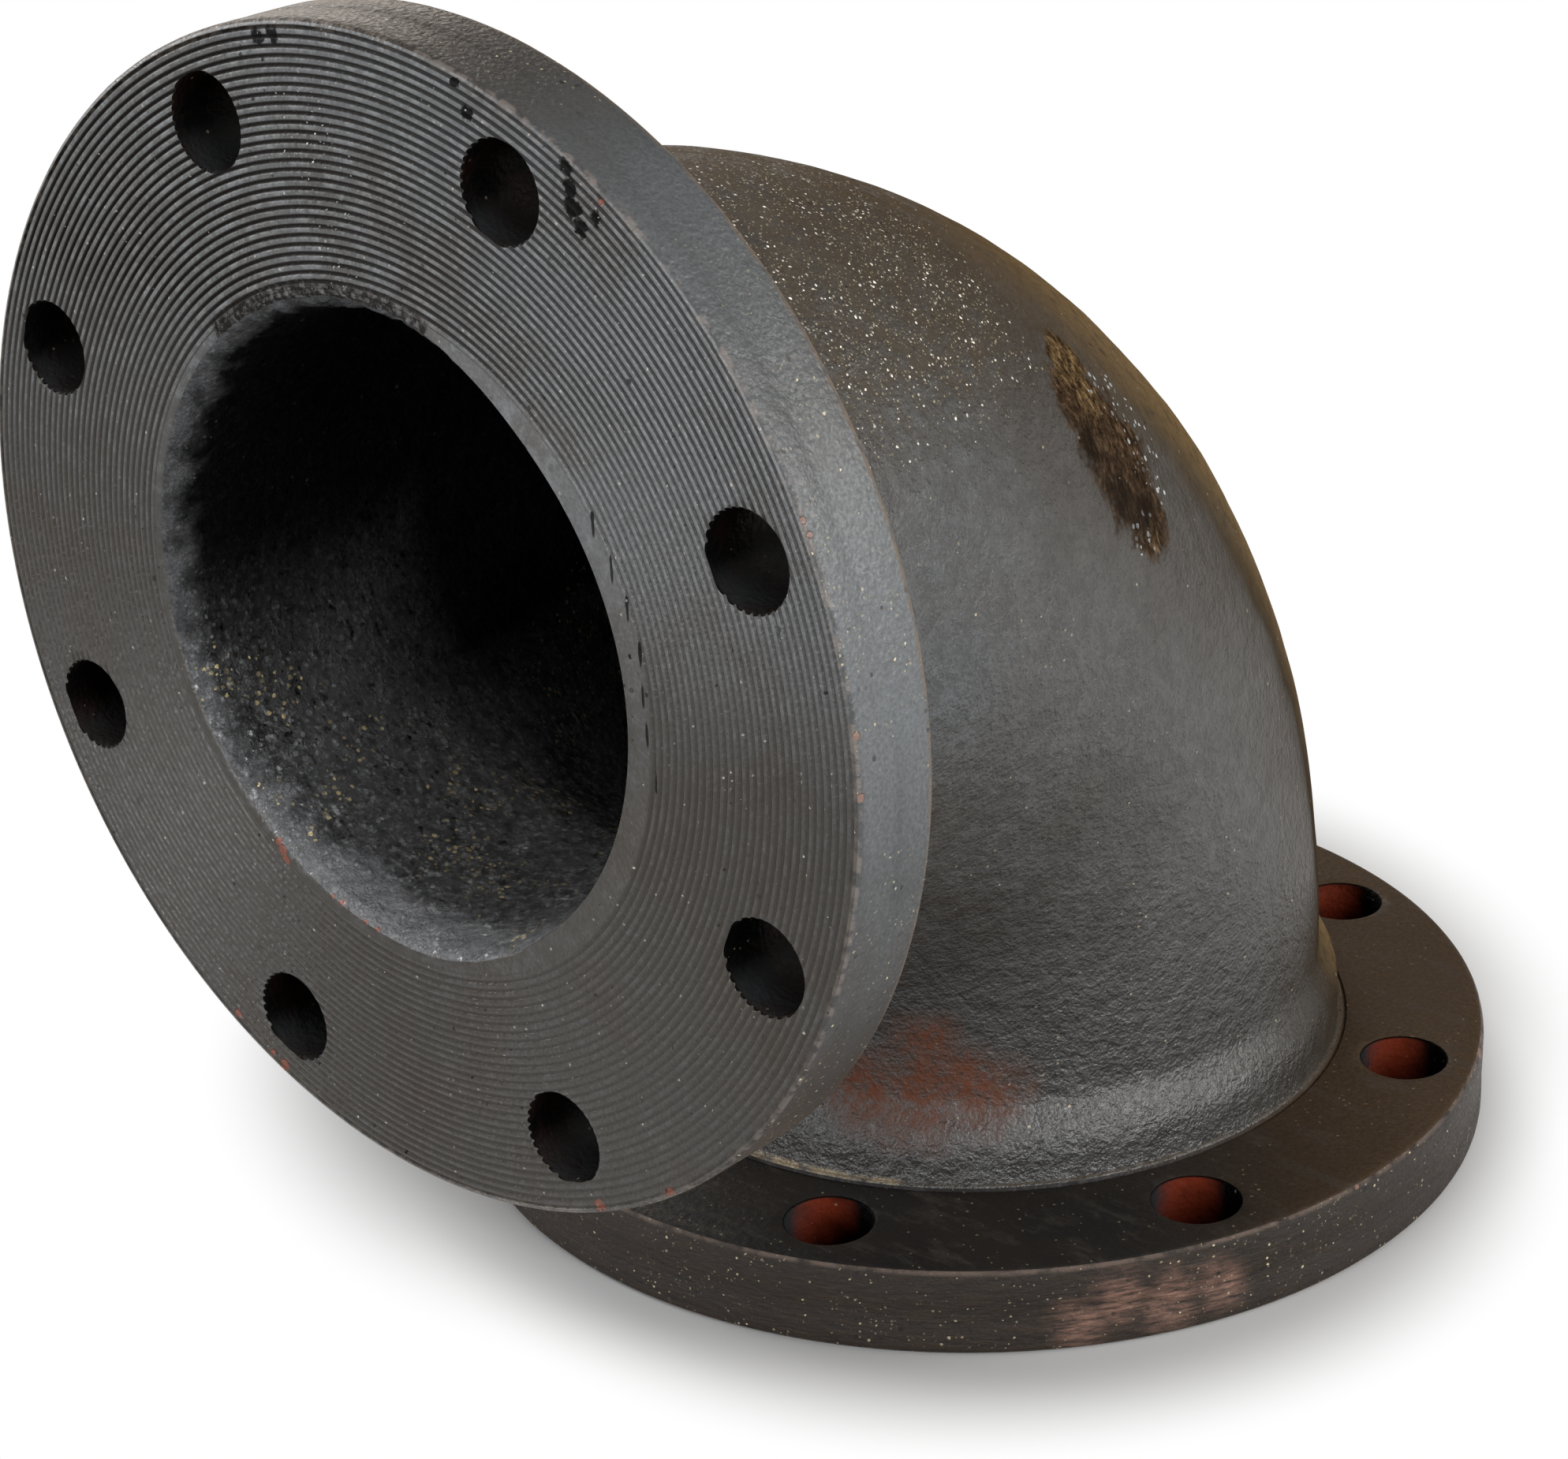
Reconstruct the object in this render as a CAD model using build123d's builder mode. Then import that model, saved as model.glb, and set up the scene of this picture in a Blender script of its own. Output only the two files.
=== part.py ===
"""Flanged 90 degree pipe bend in cast iron, standing on one of its flanges.

Units are millimetres. The origin is the middle of the lower flange's face,
+Z runs up along that flange's axis, and the side flange faces -Y.
The bend lies in the YZ plane and is the same on both sides of it.
"""
from build123d import *
import os

# Overall sizes of the bend
centre_to_face = 200.0
flange_thickness = 24.0

# Water passage, which flares a little before it meets each face
bore_radius = 73.5
mouth_flare = 4.5
mouth_depth = 8.0

# Cast wall of the bend and its two necks
wall_thickness = 21.2

# Bolt holes of each flange, half a step off the bend's own plane
bolt_hole = 22.2
bolt_count = 8

# Room for a nut between the collar and each bolt's axis, and the metal outside it.
# They give the bolt circle of 241.3 and the flange diameter of 279.4.
collar_to_bolt = 20.15
bolt_to_rim = 19.05

# Collar where each neck thickens into its flange
collar_rise = 5.8
collar_length = 8.5
collar_slope_length = 13.0
plain_neck = 2.1

# Broken edges of the flange rim
front_edge_break = 1.2
back_edge_break = 1.8

# Radii and heights that follow from the sizes above
body_radius = bore_radius + wall_thickness
mouth_radius = bore_radius + mouth_flare
collar_radius = body_radius + collar_rise
bolt_circle_radius = collar_radius + collar_to_bolt
flange_radius = bolt_circle_radius + bolt_to_rim
slope_foot = flange_thickness + collar_length
slope_top = slope_foot + collar_slope_length
straight_run = slope_top + plain_neck
bend_radius = centre_to_face - straight_run

# Each end is a plane on its flange's face, with its Z pointing into the metal
lower_end = Plane.XY
side_end = Plane(
    origin=(0, -centre_to_face, centre_to_face), x_dir=(1, 0, 0), z_dir=(0, 1, 0)
)
ends = (lower_end, side_end)
bend_axis = Axis((0, -bend_radius, straight_run), (1, 0, 0))


def section_plane(end):
    """A plane through an end's axis: its X is the radius, its Y the depth."""
    return Plane(origin=end.origin, x_dir=end.x_dir, z_dir=-end.y_dir)


def end_section(end):
    """Half section of a flange with its collar and the straight neck."""
    with BuildSketch(section_plane(end)) as section:
        with BuildLine():
            rim = Polyline(
                (0, 0),
                (flange_radius - front_edge_break, 0),
                (flange_radius, front_edge_break),
                (flange_radius, flange_thickness - back_edge_break),
                (flange_radius - back_edge_break, flange_thickness),
            )
            collar = Polyline(
                rim @ 1,
                (collar_radius, flange_thickness),
                (collar_radius, slope_foot),
                (body_radius, slope_top),
                (body_radius, straight_run),
            )
            Polyline(collar @ 1, (0, straight_run), (0, 0))
        make_face()
    return section.sketch


def mouth_section(end):
    """Half section of the straight bore and of the flare at its mouth."""
    with BuildSketch(section_plane(end)) as section:
        with BuildLine():
            Polyline(
                (0, 0),
                (mouth_radius, 0),
                (bore_radius, mouth_depth),
                (bore_radius, straight_run),
                (0, straight_run),
                close=True,
            )
        make_face()
    return section.sketch


with BuildPart() as pipe_bend:
    # The curved body is a solid quarter ring between the two straight necks
    with BuildSketch(Plane.XY.offset(straight_run)):
        Circle(body_radius)
    revolve(axis=bend_axis, revolution_arc=90)

    # A flange, a collar and a neck at each end
    for end in ends:
        revolve(end_section(end), axis=Axis(end.origin, end.z_dir))

    # The water passage follows the same centre line
    with BuildSketch(Plane.XY.offset(straight_run)):
        Circle(bore_radius)
    revolve(axis=bend_axis, revolution_arc=90, mode=Mode.SUBTRACT)
    for end in ends:
        revolve(mouth_section(end), axis=Axis(end.origin, end.z_dir), mode=Mode.SUBTRACT)

    # Bolt holes, drilled square through each flange
    for end in ends:
        with BuildSketch(end):
            with PolarLocations(bolt_circle_radius, bolt_count, start_angle=180 / bolt_count):
                Circle(bolt_hole / 2)
        extrude(amount=flange_thickness, mode=Mode.SUBTRACT)

pipe_bend.part.label = "pipe_bend"
os.makedirs("parts", exist_ok=True)
export_step(pipe_bend.part, "parts/pipe_bend.step")
print("volume, cubic millimetres:", round(pipe_bend.part.volume))
print("bend radius:", round(bend_radius, 2))
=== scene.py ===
# %% [markdown]
# # A flanged pipe bend in coated cast iron
#
# This lesson dresses one heavy casting: a right-angle pipe bend that stands on one
# of its two flanges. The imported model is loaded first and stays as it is. Everything
# made here lies in the same frame, so no piece has to be fitted by eye.

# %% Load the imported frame
import math
import bmesh
import bpy
from mathutils import Matrix, Vector, noise


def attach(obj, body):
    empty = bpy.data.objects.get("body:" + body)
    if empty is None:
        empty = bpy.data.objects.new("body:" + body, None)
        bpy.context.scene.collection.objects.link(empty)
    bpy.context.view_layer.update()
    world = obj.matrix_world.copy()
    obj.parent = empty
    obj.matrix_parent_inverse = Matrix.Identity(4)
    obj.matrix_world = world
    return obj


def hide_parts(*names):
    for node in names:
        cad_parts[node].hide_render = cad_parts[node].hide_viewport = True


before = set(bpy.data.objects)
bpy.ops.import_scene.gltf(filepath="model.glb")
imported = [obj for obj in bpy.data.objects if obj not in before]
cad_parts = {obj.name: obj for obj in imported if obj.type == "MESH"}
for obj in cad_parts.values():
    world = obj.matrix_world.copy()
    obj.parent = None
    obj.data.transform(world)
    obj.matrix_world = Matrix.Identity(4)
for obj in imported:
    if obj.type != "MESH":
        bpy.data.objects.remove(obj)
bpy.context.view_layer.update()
print("nodes:", sorted(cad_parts))

# %% [markdown]
# ## Camera
#
# The photograph looks down on the bend from its right, a little turned. The camera
# is built from three measured angles: its azimuth, its elevation and its roll. The
# columns of its rotation are its right, its up and the way back to the lens.

# %% Camera
CAMERA_PLACE = (0.60988, -0.72483, 0.53793)
CAMERA_AZIMUTH = math.radians(43.0317)
CAMERA_ELEVATION = math.radians(24.4475)
CAMERA_ROLL = math.radians(-2.2140)
CAMERA_LENS = 89.15
CAMERA_SENSOR = 36.0


def camera_matrix():
    """Place and turn of the camera in the shared frame."""
    back = Vector((
        math.sin(CAMERA_AZIMUTH) * math.cos(CAMERA_ELEVATION),
        -math.cos(CAMERA_AZIMUTH) * math.cos(CAMERA_ELEVATION),
        math.sin(CAMERA_ELEVATION),
    ))
    right = Vector((math.cos(CAMERA_AZIMUTH), math.sin(CAMERA_AZIMUTH), 0.0))
    up = back.cross(right)
    rolled_right = right * math.cos(CAMERA_ROLL) + up * math.sin(CAMERA_ROLL)
    rolled_up = up * math.cos(CAMERA_ROLL) - right * math.sin(CAMERA_ROLL)
    turn = Matrix((rolled_right, rolled_up, back)).transposed()
    return Matrix.Translation(CAMERA_PLACE) @ turn.to_4x4()


lens = bpy.data.cameras.new("photo_camera")
lens.sensor_width = CAMERA_SENSOR
lens.lens = CAMERA_LENS
lens.clip_start = 0.01
camera = bpy.data.objects.new("photo_camera", lens)
camera.matrix_world = camera_matrix()
bpy.context.scene.collection.objects.link(camera)
bpy.context.scene.camera = camera
print("camera at", tuple(round(value, 3) for value in camera.location))

# %% [markdown]
# ## Sizes
#
# The sizes are those of the casting, in millimetres. Each end is described once, by
# its radius from the flange's axis and its depth behind the flange's face, and both
# ends are turned from such a half section, as the real flanges are on a lathe.

# %% Sizes of the bend, in millimetres
MM = 0.001
CENTRE_TO_FACE = 200.0
STRAIGHT_RUN = 47.6
BEND_RADIUS = CENTRE_TO_FACE - STRAIGHT_RUN
FLANGE_RADIUS = 139.7
FLANGE_THICKNESS = 24.0
BORE_RADIUS = 73.5
BODY_RADIUS = 94.7
COLLAR_RADIUS = 100.5
BOLT_CIRCLE_RADIUS = 120.65
BOLT_HOLE_RADIUS = 11.1
BOLT_COUNT = 8

RING_PITCH = 2.06
FIRST_RING = 80.7
RING_COUNT = 28

TURN_STEPS = 204
OUTER_BEND_STEPS = 88
INNER_BEND_STEPS = 32

# Where the side end lies: its face looks along -Y at the height of the bend's top
to_side_end = Matrix((
    (1, 0, 0, 0),
    (0, 0, 1, -CENTRE_TO_FACE),
    (0, -1, 0, CENTRE_TO_FACE),
    (0, 0, 0, 1),
))
print("rings on a face:", RING_COUNT, "from radius", FIRST_RING)

# %% [markdown]
# ## Half section of an end
#
# On the real bend the face is cut in concentric rings: broad rounded ridges with a
# narrow valley between them. They are real relief, so they are drawn row by row. The
# face that shows gets six rows a ring. The one that stands on the floor has the same
# rings with two rows each, which keeps the mesh light.

# %% Half section
SHOWN_RING = ((0.00, 0.14), (0.14, 0.0), (0.36, 0.01), (0.56, 0.10), (0.72, 0.42), (0.88, 0.42))
PLAIN_RING = ((0.30, 0.0), (0.80, 0.30))


def turned_rows(ring):
    """Rows of the turned rings, from the mouth to the flange's edge."""
    return [
        (FIRST_RING + (number + part) * RING_PITCH, depth)
        for number in range(RING_COUNT)
        for part, depth in ring
    ]


def half_section(ring):
    """One end from the bore, round the flange, to the neck, as (radius, depth)."""
    neck_in_bore = [(BORE_RADIUS, depth) for depth in (STRAIGHT_RUN, 41, 35, 29, 24, 20)]
    mouth = [(73.55, 16.5), (73.8, 13.3), (74.2, 10.3), (74.8, 7.6), (75.6, 5.1), (76.6, 2.9)]
    lip = [(77.6, 1.4), (78.6, 0.5), (79.6, 0.1)]
    front_edge = [(138.4, 0.02), (139.1, 0.3), (139.55, 0.9), (FLANGE_RADIUS, 1.9)]
    rim = [
        (FLANGE_RADIUS, 7.2), (139.52, 7.8), (139.52, 12.6), (FLANGE_RADIUS, 13.2),
        (FLANGE_RADIUS, 18), (FLANGE_RADIUS, 21.8),
    ]
    back_edge = [(139.45, 22.9), (138.9, 23.7), (137.9, FLANGE_THICKNESS)]
    back = [(radius, FLANGE_THICKNESS) for radius in (134, 128, 120, 112, 106, 102.9)]
    ledge = [(102.6, 23.5), (102.1, 23.5), (101.8, 24.7), (101.3, 25.1), (100.8, 25.2)]
    collar = [
        (COLLAR_RADIUS, 26.5), (COLLAR_RADIUS, 30.5), (100.2, 34), (99.4, 37), (98.1, 39.6),
        (96.6, 42), (95.4, 44.2), (94.85, 46),
    ]
    neck = [(BODY_RADIUS, STRAIGHT_RUN)]
    return (
        neck_in_bore + mouth + lip + turned_rows(ring) + front_edge + rim
        + back_edge + back + ledge + collar + neck
    )


print("rows in the shown end:", len(half_section(SHOWN_RING)))

# %% [markdown]
# ## Finishes of the casting
#
# One dip coat covers the whole casting, but it lies on differently made surfaces,
# and each looks different: turned faces, turned rims, the flat backs, rough cast
# walls, the sand-rough bore and the drilled holes. Each gets its own material slot.

# %% Which finish a place has
TURNED_FACE, TURNED_RIM, CUT_BACK, CAST_WALL, CAST_BORE, DRILLED_HOLE = range(6)


def finish_at(radius, depth):
    """Finish of an end at a radius and a depth behind the face."""
    if radius < 79.0 or (radius < 90 and depth > 1):
        return CAST_BORE
    if radius > 138.9:
        return TURNED_RIM
    if depth < 1:
        return TURNED_FACE
    if FLANGE_THICKNESS - 0.6 < depth < FLANGE_THICKNESS + 0.2:
        return CUT_BACK
    return CAST_WALL


# %% [markdown]
# ## Turning the two ends and bending the pipe
#
# The half section is a chain of points in the XZ plane. Spinning it once round Z
# gives a whole end. The rings of edges left open at its neck are then spun a quarter
# turn about the bend's axis, which draws the outer wall and the bore in one go each.

# %% Turn the ends, bend the walls
FLARE_PULL = 0.82
FLARE_FADES = (0.0, 0.75)


def turn_end(ring):
    """Spin the half section of an end round Z, with a finish on each face."""
    end = bmesh.new()
    chain = [end.verts.new((radius, 0, depth)) for radius, depth in half_section(ring)]
    for pair in zip(chain, chain[1:]):
        end.edges.new(pair)
    bmesh.ops.spin(
        end, geom=end.verts[:] + end.edges[:], cent=(0, 0, 0), axis=(0, 0, 1),
        dvec=(0, 0, 0), angle=math.tau, steps=TURN_STEPS, use_merge=True,
    )
    for face in end.faces:
        centre = face.calc_center_median()
        face.material_index = finish_at(centre.xy.length, centre.z)
    return end


def narrow_flare(end):
    """Draw the flare in on the right of the shown mouth, where the casting has almost none."""
    for corner in end.verts:
        radius = corner.co.xy.length
        if BORE_RADIUS < radius < FIRST_RING - 1 and corner.co.z < STRAIGHT_RUN / 2:
            share = (corner.co.x / radius - FLARE_FADES[0]) / (FLARE_FADES[1] - FLARE_FADES[0])
            share = min(max(share, 0.0), 1.0)
            pull = FLARE_PULL * share * share * (3 - 2 * share)
            scale = 1 - pull * (radius - BORE_RADIUS) / radius
            corner.co = (corner.co.x * scale, corner.co.y * scale, corner.co.z)


def join(whole, part):
    """Add one bmesh's faces to another."""
    carrier = bpy.data.meshes.new("carrier")
    part.to_mesh(carrier)
    part.free()
    whole.from_mesh(carrier)
    bpy.data.meshes.remove(carrier)


def bend_ring(casting, edges, steps, finish):
    """Spin a ring of edges a quarter turn about the bend's axis."""
    known = set(casting.faces)
    corners = list({corner for edge in edges for corner in edge.verts})
    bmesh.ops.spin(
        casting, geom=corners + edges, cent=(0, -BEND_RADIUS, STRAIGHT_RUN),
        axis=(1, 0, 0), dvec=(0, 0, 0), angle=math.pi / 2, steps=steps,
    )
    for face in casting.faces:
        if face not in known:
            face.material_index = finish


casting = turn_end(PLAIN_RING)
open_edges = [edge for edge in casting.edges if edge.is_boundary]
wall_ring = [edge for edge in open_edges if edge.verts[0].co.xy.length > 84]
bore_ring = [edge for edge in open_edges if edge.verts[0].co.xy.length < 84]
bend_ring(casting, wall_ring, OUTER_BEND_STEPS, CAST_WALL)
bend_ring(casting, bore_ring, INNER_BEND_STEPS, CAST_BORE)
side_end = turn_end(SHOWN_RING)
narrow_flare(side_end)
side_end.transform(to_side_end)
join(casting, side_end)
bmesh.ops.remove_doubles(casting, verts=casting.verts[:], dist=0.01)
bmesh.ops.recalc_face_normals(casting, faces=casting.faces[:])
print("faces:", len(casting.faces), "open edges:",
      sum(1 for edge in casting.edges if not edge.is_manifold))

# %% [markdown]
# ## Cast lumps and a chipped lip
#
# A sand mould leaves a wall that is never quite even: long swells and small lumps.
# Every point is pushed along its normal by smooth noise, more in the rough bore and
# less on the turned parts. The lip of the side mouth is chipped over its top.

# %% Unevenness of the casting
LUMPS = {
    TURNED_FACE: (), TURNED_RIM: ((22, 0.10), (7, 0.05)), CUT_BACK: ((30, 0.08),),
    CAST_WALL: ((34, 0.42), (12, 0.20), (6, 0.09)), CAST_BORE: ((24, 0.35), (9, 0.32), (5, 0.22)),
    DRILLED_HOLE: (),
}
LIP_CHIP_HALF_WIDTH = math.radians(36)
LIP_CHIP_MIDDLE = math.radians(104)


def swell(place, waves, seed):
    """Smooth noise in millimetres, one term for each wavelength and height."""
    shift = Vector((seed * 17.3, seed * 5.1, seed * 9.7))
    return sum(height * noise.noise(place / length + shift) for length, height in waves)


def lip_chips(place):
    """How far the side mouth's lip is broken back over its top."""
    across = place.x
    above = place.z - CENTRE_TO_FACE
    radius = math.hypot(across, above)
    if place.y > -CENTRE_TO_FACE + 7 or radius > 81.5:
        return 0.0
    away = abs(math.atan2(above, across) - LIP_CHIP_MIDDLE) / LIP_CHIP_HALF_WIDTH
    strength = max(0.0, 1.0 - away * away) * 1.25 + 0.16
    return strength * (abs(noise.noise(place / 5.0)) + 0.6 * noise.noise(place / 2.6))


casting.normal_update()
for corner in casting.verts:
    finishes = {face.material_index for face in corner.link_faces}
    calmest = min(finishes, key=lambda finish: sum(height for _, height in LUMPS[finish]))
    push = swell(corner.co, LUMPS[calmest], 3)
    if CAST_BORE in finishes:
        push -= lip_chips(corner.co)
    corner.co += corner.normal * push
print("uneven points:", len(casting.verts))

# %% [markdown]
# ## Bolt holes
#
# Eight holes are drilled through each flange, half a step off the bend's own plane.
# A drill with a small shoulder at each end leaves the broken edges of the photo, so
# one drill is spun from its half section, copied round the circle and subtracted.

# %% Drills
HOLE_EDGE_BREAK = 0.55
DRILL_STEPS = 48


def drill(place):
    """A closed drill with a flared shoulder at each face of the flange."""
    tool = bmesh.new()
    wide = BOLT_HOLE_RADIUS + 3
    flare = wide - BOLT_HOLE_RADIUS - HOLE_EDGE_BREAK
    section = (
        (0, -flare), (wide, -flare), (BOLT_HOLE_RADIUS, HOLE_EDGE_BREAK),
        (BOLT_HOLE_RADIUS, FLANGE_THICKNESS - HOLE_EDGE_BREAK),
        (wide, FLANGE_THICKNESS + flare), (0, FLANGE_THICKNESS + flare),
    )
    chain = [tool.verts.new((radius, 0, depth)) for radius, depth in section]
    for pair in zip(chain, chain[1:]):
        tool.edges.new(pair)
    bmesh.ops.spin(
        tool, geom=tool.verts[:] + tool.edges[:], cent=(0, 0, 0), axis=(0, 0, 1),
        dvec=(0, 0, 0), angle=math.tau, steps=DRILL_STEPS, use_merge=True,
    )
    bmesh.ops.remove_doubles(tool, verts=tool.verts[:], dist=0.001)
    tool.transform(place)
    return tool


drills = bmesh.new()
for number in range(BOLT_COUNT):
    turn = Matrix.Rotation((number + 0.5) * math.tau / BOLT_COUNT, 4, "Z")
    out = Matrix.Translation((BOLT_CIRCLE_RADIUS, 0, 0))
    join(drills, drill(turn @ out))
    join(drills, drill(to_side_end @ turn @ out))
bmesh.ops.recalc_face_normals(drills, faces=drills.faces[:])
for face in drills.faces:
    face.material_index = DRILLED_HOLE
print("drills:", 2 * BOLT_COUNT)

# %% Subtract the drills and shade the casting
def new_piece(name, shape):
    """Put a bmesh into a new object at the origin, in metres."""
    shape.transform(Matrix.Scale(MM, 4))
    mesh = bpy.data.meshes.new(name)
    shape.to_mesh(mesh)
    shape.free()
    piece = bpy.data.objects.new(name, mesh)
    bpy.context.scene.collection.objects.link(piece)
    return piece


blanks = [bpy.data.materials.new("blank") for finish in LUMPS]

bend = new_piece("coated_pipe_bend", casting)
tools = new_piece("bolt_hole_drills", drills)
for blank in blanks:
    bend.data.materials.append(blank)
    tools.data.materials.append(blank)
cut = bend.modifiers.new("bolt holes", "BOOLEAN")
cut.operation = "DIFFERENCE"
cut.solver = "MANIFOLD"
cut.object = tools
drilled = bpy.data.meshes.new_from_object(bend.evaluated_get(bpy.context.evaluated_depsgraph_get()))
print("drilled faces:", len(drilled.polygons), "before:", len(bend.data.polygons))
bend.modifiers.clear()
bend.data = drilled
bpy.data.objects.remove(tools)
drilled.shade_smooth()
drilled.set_sharp_from_angle(angle=math.radians(50))
triangles = sum(len(face.vertices) - 2 for face in drilled.polygons)
print("triangles:", triangles)

# %% [markdown]
# ## Adding nodes
#
# Every finish below is a small network of nodes. One helper adds a node, sets it,
# links what feeds it and hands back one of its outputs. A second one turns a hex
# colour, as a colour picker shows it, into the linear numbers that shaders use.

# %% Helpers for materials
def linear(hex_colour):
    """Linear colour of an sRGB hex value such as "#2b2c2e"."""
    parts = [int(hex_colour[place:place + 2], 16) / 255 for place in (1, 3, 5)]
    return [
        part / 12.92 if part <= 0.04045 else ((part + 0.055) / 1.055) ** 2.4
        for part in parts
    ] + [1.0]


def add(tree, kind, feeds=(), out=0, **settings):
    """Add a shader node, set and feed it, and return one of its outputs.

    feeds holds numbers, colours or the outputs that drive the node's sockets. A list
    fills the first sockets in turn, and a dictionary names the sockets it fills.
    """
    node = tree.nodes.new("ShaderNode" + kind)
    for name, value in settings.items():
        setattr(node, name, value)
    for socket, value in feeds.items() if isinstance(feeds, dict) else enumerate(feeds):
        if isinstance(value, bpy.types.NodeSocket):
            tree.links.new(value, node.inputs[socket])
        else:
            node.inputs[socket].default_value = value
    return node.outputs[out] if node.outputs else None


# %% [markdown]
# ## Patterns that the finishes share
#
# Clouds, grains of grit, bare places and dust come back on every finish. Each is a
# function that returns a mask between 0 and 1. Sizes are in millimetres, and each
# texture's scale is worked out from them as waves in a metre.

# %% Masks
def clouds(tree, place, size, low=0.3, high=0.7, detail=2.0, rough=0.5):
    """Soft clouds of about size millimetres, stretched between low and high."""
    cloud = add(tree, "TexNoise", {
        "Vector": place, "Scale": 1 / (size * MM), "Detail": detail, "Roughness": rough,
    })
    return add(tree, "MapRange", [cloud, low, high], interpolation_type="SMOOTHSTEP")


def overlap(tree, *masks):
    """Where all of some masks meet."""
    whole = masks[0]
    for mask in masks[1:]:
        whole = add(tree, "Math", [whole, mask], operation="MULTIPLY")
    return whole


def union(tree, *masks):
    """Where at least one of some masks is."""
    whole = masks[0]
    for mask in masks[1:]:
        whole = add(tree, "Math", [whole, mask], operation="MAXIMUM")
    return whole


def facing(tree, direction, low, high):
    """How far the surface looks in a direction of the frame."""
    normal = add(tree, "TexCoord", out="Normal")
    share = add(tree, "VectorMath", [normal, direction], out="Value", operation="DOT_PRODUCT")
    return add(tree, "MapRange", [share, low, high], interpolation_type="SMOOTHSTEP")


def shaken(tree, place, size, reach):
    """The place shaken by noise, so that grains on it aren't round."""
    noise_colour = add(tree, "TexNoise", {"Vector": place, "Scale": 1 / (size * MM)}, out="Color")
    centred = add(tree, "VectorMath", [noise_colour, (0.5, 0.5, 0.5)], operation="SUBTRACT")
    spread = (2 * reach * MM,) * 3
    return add(tree, "VectorMath", [centred, spread, place], operation="MULTIPLY_ADD")


def grains(tree, place, cell, size, share, presence=1.0):
    """Grains up to size millimetres across, some fainter, in a share of the cells."""
    cells = add(tree, "TexVoronoi", {"Vector": place, "Scale": 1 / (cell * MM)}).node.outputs
    luck = add(tree, "SeparateColor", [cells["Color"]]).node.outputs
    limit = add(tree, "Math", [presence, share], operation="MULTIPLY")
    chosen = add(tree, "Math", [luck[0], limit], operation="LESS_THAN")
    reach = add(tree, "Math", [luck[1], 0.35 * size / cell, 0.15 * size / cell],
                operation="MULTIPLY_ADD")
    inside = add(tree, "Math", [cells["Distance"], reach], operation="LESS_THAN")
    bright = add(tree, "MapRange", {0: luck[2], 3: 0.2, 4: 1.0})
    return overlap(tree, chosen, inside, bright)


def patch(tree, place, spots, ragged=0.35, grit=6.0, soft=0.28):
    """A bare or stained place over some spots, its outline broken by noise."""
    broken = add(tree, "TexNoise", {
        "Vector": place, "Scale": 1 / (grit * MM), "Detail": 4.0, "Roughness": 0.65,
    })
    bite = add(tree, "Math", [broken, 2 * ragged, -ragged], operation="MULTIPLY_ADD")
    nearest = 9.0
    for centre, reach in spots:
        middle = [value * MM for value in centre]
        away = add(tree, "VectorMath", [place, middle], out="Value", operation="DISTANCE")
        share = add(tree, "Math", [away, reach * MM], operation="DIVIDE")
        nearest = add(tree, "Math", [share, nearest], operation="MINIMUM")
    bitten = add(tree, "Math", [nearest, bite], operation="ADD")
    return add(tree, "MapRange", [bitten, 1.0, 1.0 - soft], interpolation_type="SMOOTHSTEP")


def layered(tree, colour, layers):
    """Lay colours over each other, each by its mask and strength."""
    colour = linear(colour)
    for mask, strength, over in layers:
        amount = add(tree, "Math", [mask, strength], operation="MULTIPLY", use_clamp=True)
        top = linear(over) if isinstance(over, str) else over
        colour = add(tree, "Mix", {0: amount, 6: colour, 7: top}, out=2, data_type="RGBA")
    return colour


def stacked(tree, layers):
    """Add up heights in millimetres, each a mask and how high it stands."""
    height = 0.0
    for mask, rise in layers:
        height = add(tree, "Math", [mask, rise, height], operation="MULTIPLY_ADD")
    return height


# %% [markdown]
# ## The dip coat
#
# The coat is bitumen: near black, satin, a dielectric with an index of about 1.5.
# It dries with a fine orange peel, and where the iron below is rough it shows that.
# This function ends every finish: it takes a colour, a roughness, a height in
# millimetres and a gloss, and gives them to one Principled shader.

# %% Coat shader
DUST_SHEEN = "#a87c45"


def coated(name, build, sheen=0.0):
    """A coated finish; build gives its colour, roughness, height in mm and gloss."""
    finish = bpy.data.materials.new(name)
    finish.use_nodes = True
    tree = finish.node_tree
    tree.nodes.clear()
    place = add(tree, "TexCoord", out="Object")
    colour, roughness, height, gloss = build(tree, place)
    relief = add(tree, "Bump", {"Height": height, "Strength": 1.0, "Distance": MM})
    shader = add(tree, "BsdfPrincipled", {
        "Base Color": colour, "Roughness": roughness, "Normal": relief,
        "IOR": 1.5, "Specular IOR Level": gloss, "Sheen Weight": sheen,
        "Sheen Roughness": 0.35, "Sheen Tint": linear(DUST_SHEEN),
    })
    add(tree, "OutputMaterial", {"Surface": shader})
    return finish


# %% [markdown]
# ## Rough cast wall
#
# The body was cast in sand, cleaned and dipped. The coat softens the sand texture
# into an orange peel two or three millimetres across. Dust and pale grains lie on
# top, brown oxide shows low down, and one scab beside the top is bare and rusty.
# Light is painted in too: a cool grey highlight on the upper wall, a gold-brown
# glow and a darker brown shade on the side that faces the back, and near-white
# glints on the pale grains of the dusty top.

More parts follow.
